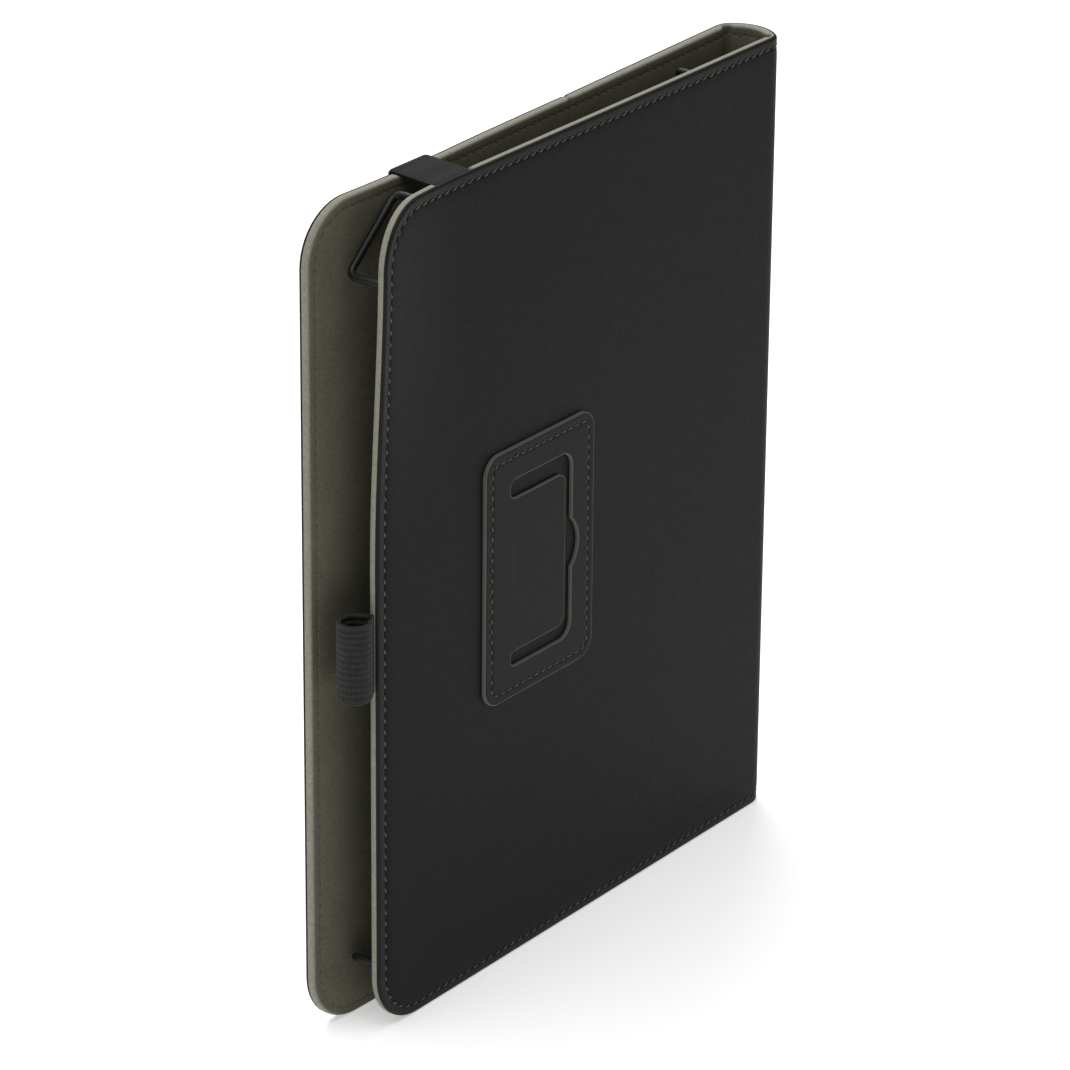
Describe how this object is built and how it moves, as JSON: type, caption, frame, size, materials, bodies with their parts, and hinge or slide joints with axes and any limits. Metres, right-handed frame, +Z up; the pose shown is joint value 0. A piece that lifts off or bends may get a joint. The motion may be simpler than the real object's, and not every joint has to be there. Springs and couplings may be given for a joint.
{
  "type": "tablet case",
  "caption": "Folio case for a tablet: boarded covers on a folding spine, corner loops, pen loop, elastic closure band and a rear patch whose tongue makes a stand slot.",
  "frame": {"origin": "on the floor under the middle of the closed case, which stands on its short bottom edges", "axes": "+Z up along the long side, +X towards the spine, +Y from the back cover to the front cover"},
  "size_m": [0.2132, 0.0234, 0.26],
  "materials": {
    "outer_leather": "smooth matt imitation leather, fine grain",
    "patch_leather": "smooth matt imitation leather with pale cut edges",
    "stiffener_board": "grey board, hidden",
    "microfibre_lining": "olive grey microfibre, brushed",
    "seam_thread": "twisted thread, slight shine",
    "woven_elastic": "flat woven elastic",
    "ribbed_elastic": "ribbed woven elastic",
    "elastic_cord": "round elastic cord, satin"
  },
  "bodies": {
    "back_cover": {"back_leather": "outer_leather", "back_board": "stiffener_board", "back_lining": "microfibre_lining", "back_seam": "seam_thread", "stand_patch": "patch_leather", "patch_seam": "seam_thread", "pen_loop": "ribbed_elastic", "band_top_tail": "woven_elastic", "band_bottom_tail": "woven_elastic", "loop_anchor_free_top": "elastic_cord", "loop_anchor_free_bottom": "elastic_cord", "loop_anchor_spine_top": "elastic_cord", "loop_anchor_spine_bottom": "elastic_cord"},
    "spine": {"spine_leather": "outer_leather", "spine_board": "stiffener_board", "spine_lining": "microfibre_lining", "spine_seam": "seam_thread", "back_fold_leather": "outer_leather", "back_fold_lining": "microfibre_lining"},
    "front_inner_panel": {"inner_panel_leather": "outer_leather", "inner_panel_board": "stiffener_board", "inner_panel_lining": "microfibre_lining", "inner_panel_seam": "seam_thread", "front_fold_leather": "outer_leather", "front_fold_lining": "microfibre_lining"},
    "front_outer_panel": {"outer_panel_leather": "outer_leather", "outer_panel_board": "stiffener_board", "outer_panel_lining": "microfibre_lining", "outer_panel_seam": "seam_thread", "crease_leather": "outer_leather", "crease_lining": "microfibre_lining"},
    "stand_tongue": {"stand_tongue": "patch_leather", "tongue_fold": "patch_leather"},
    "closure_band": {"band_top_run": "woven_elastic", "band_front_run": "woven_elastic", "band_bottom_run": "woven_elastic"},
    "corner_loop_free_top": {"corner_loop_free_top": "elastic_cord"},
    "corner_loop_free_bottom": {"corner_loop_free_bottom": "elastic_cord"},
    "corner_loop_spine_top": {"corner_loop_spine_top": "elastic_cord"},
    "corner_loop_spine_bottom": {"corner_loop_spine_bottom": "elastic_cord"}
  },
  "joints": [
    {"name": "back_fold", "type": "hinge", "parent": "back_cover", "child": "spine", "pos_m": [0.10093, -0.00851, 0.13], "axis": [0, 0, -1], "range_deg": [0, 179.5], "deforming": ["back_fold_leather", "back_fold_lining"]},
    {"name": "front_fold", "type": "hinge", "parent": "spine", "child": "front_inner_panel", "pos_m": [0.10093, 0.00989, 0.13], "axis": [0, 0, -1], "range_deg": [0, 179.5], "deforming": ["front_fold_leather", "front_fold_lining"]},
    {"name": "crease_fold", "type": "hinge", "parent": "front_inner_panel", "child": "front_outer_panel", "pos_m": [0.01646, 0.00907, 0.13], "axis": [0, 0, 1], "range_deg": [-120, 0], "deforming": ["crease_leather", "crease_lining"]},
    {"name": "tongue_lift", "type": "hinge", "parent": "back_cover", "child": "stand_tongue", "pos_m": [-0.03008, -0.01141, 0.1276], "axis": [0, 0, -1], "range_deg": [0, 30], "stiffness_Nm_per_rad": 0.004, "deforming": ["tongue_fold"]},
    {"name": "band_release", "type": "hinge", "parent": "back_cover", "child": "closure_band", "pos_m": [-0.05808, -0.00861, 0.13], "axis": [0, 0, 1], "range_deg": [0, 179.5], "deforming": ["band_top_run", "band_front_run", "band_bottom_run"]},
    {"name": "corner_loop_free_top_swing", "type": "hinge", "parent": "back_cover", "child": "corner_loop_free_top", "pos_m": [-0.08223, -0.00521, 0.2472], "axis": [0.7567, 0, 0.6537], "range_deg": [0, 60], "stiffness_Nm_per_rad": 0.0005},
    {"name": "corner_loop_free_bottom_swing", "type": "hinge", "parent": "back_cover", "child": "corner_loop_free_bottom", "pos_m": [-0.08223, -0.00521, 0.0128], "axis": [-0.7567, 0, 0.6537], "range_deg": [0, 60], "stiffness_Nm_per_rad": 0.0005},
    {"name": "corner_loop_spine_top_swing", "type": "hinge", "parent": "back_cover", "child": "corner_loop_spine_top", "pos_m": [0.07508, -0.00521, 0.2472], "axis": [0.7567, 0, -0.6537], "range_deg": [0, 60], "stiffness_Nm_per_rad": 0.0005},
    {"name": "corner_loop_spine_bottom_swing", "type": "hinge", "parent": "back_cover", "child": "corner_loop_spine_bottom", "pos_m": [0.07508, -0.00521, 0.0128], "axis": [-0.7567, 0, -0.6537], "range_deg": [0, 60], "stiffness_Nm_per_rad": 0.0005}
  ],
  "couplings": [
    {"joint": "front_fold", "follows": "back_fold", "ratio": 1},
    {"joint": "band_release", "follows": "back_fold", "ratio": 1}
  ]
}
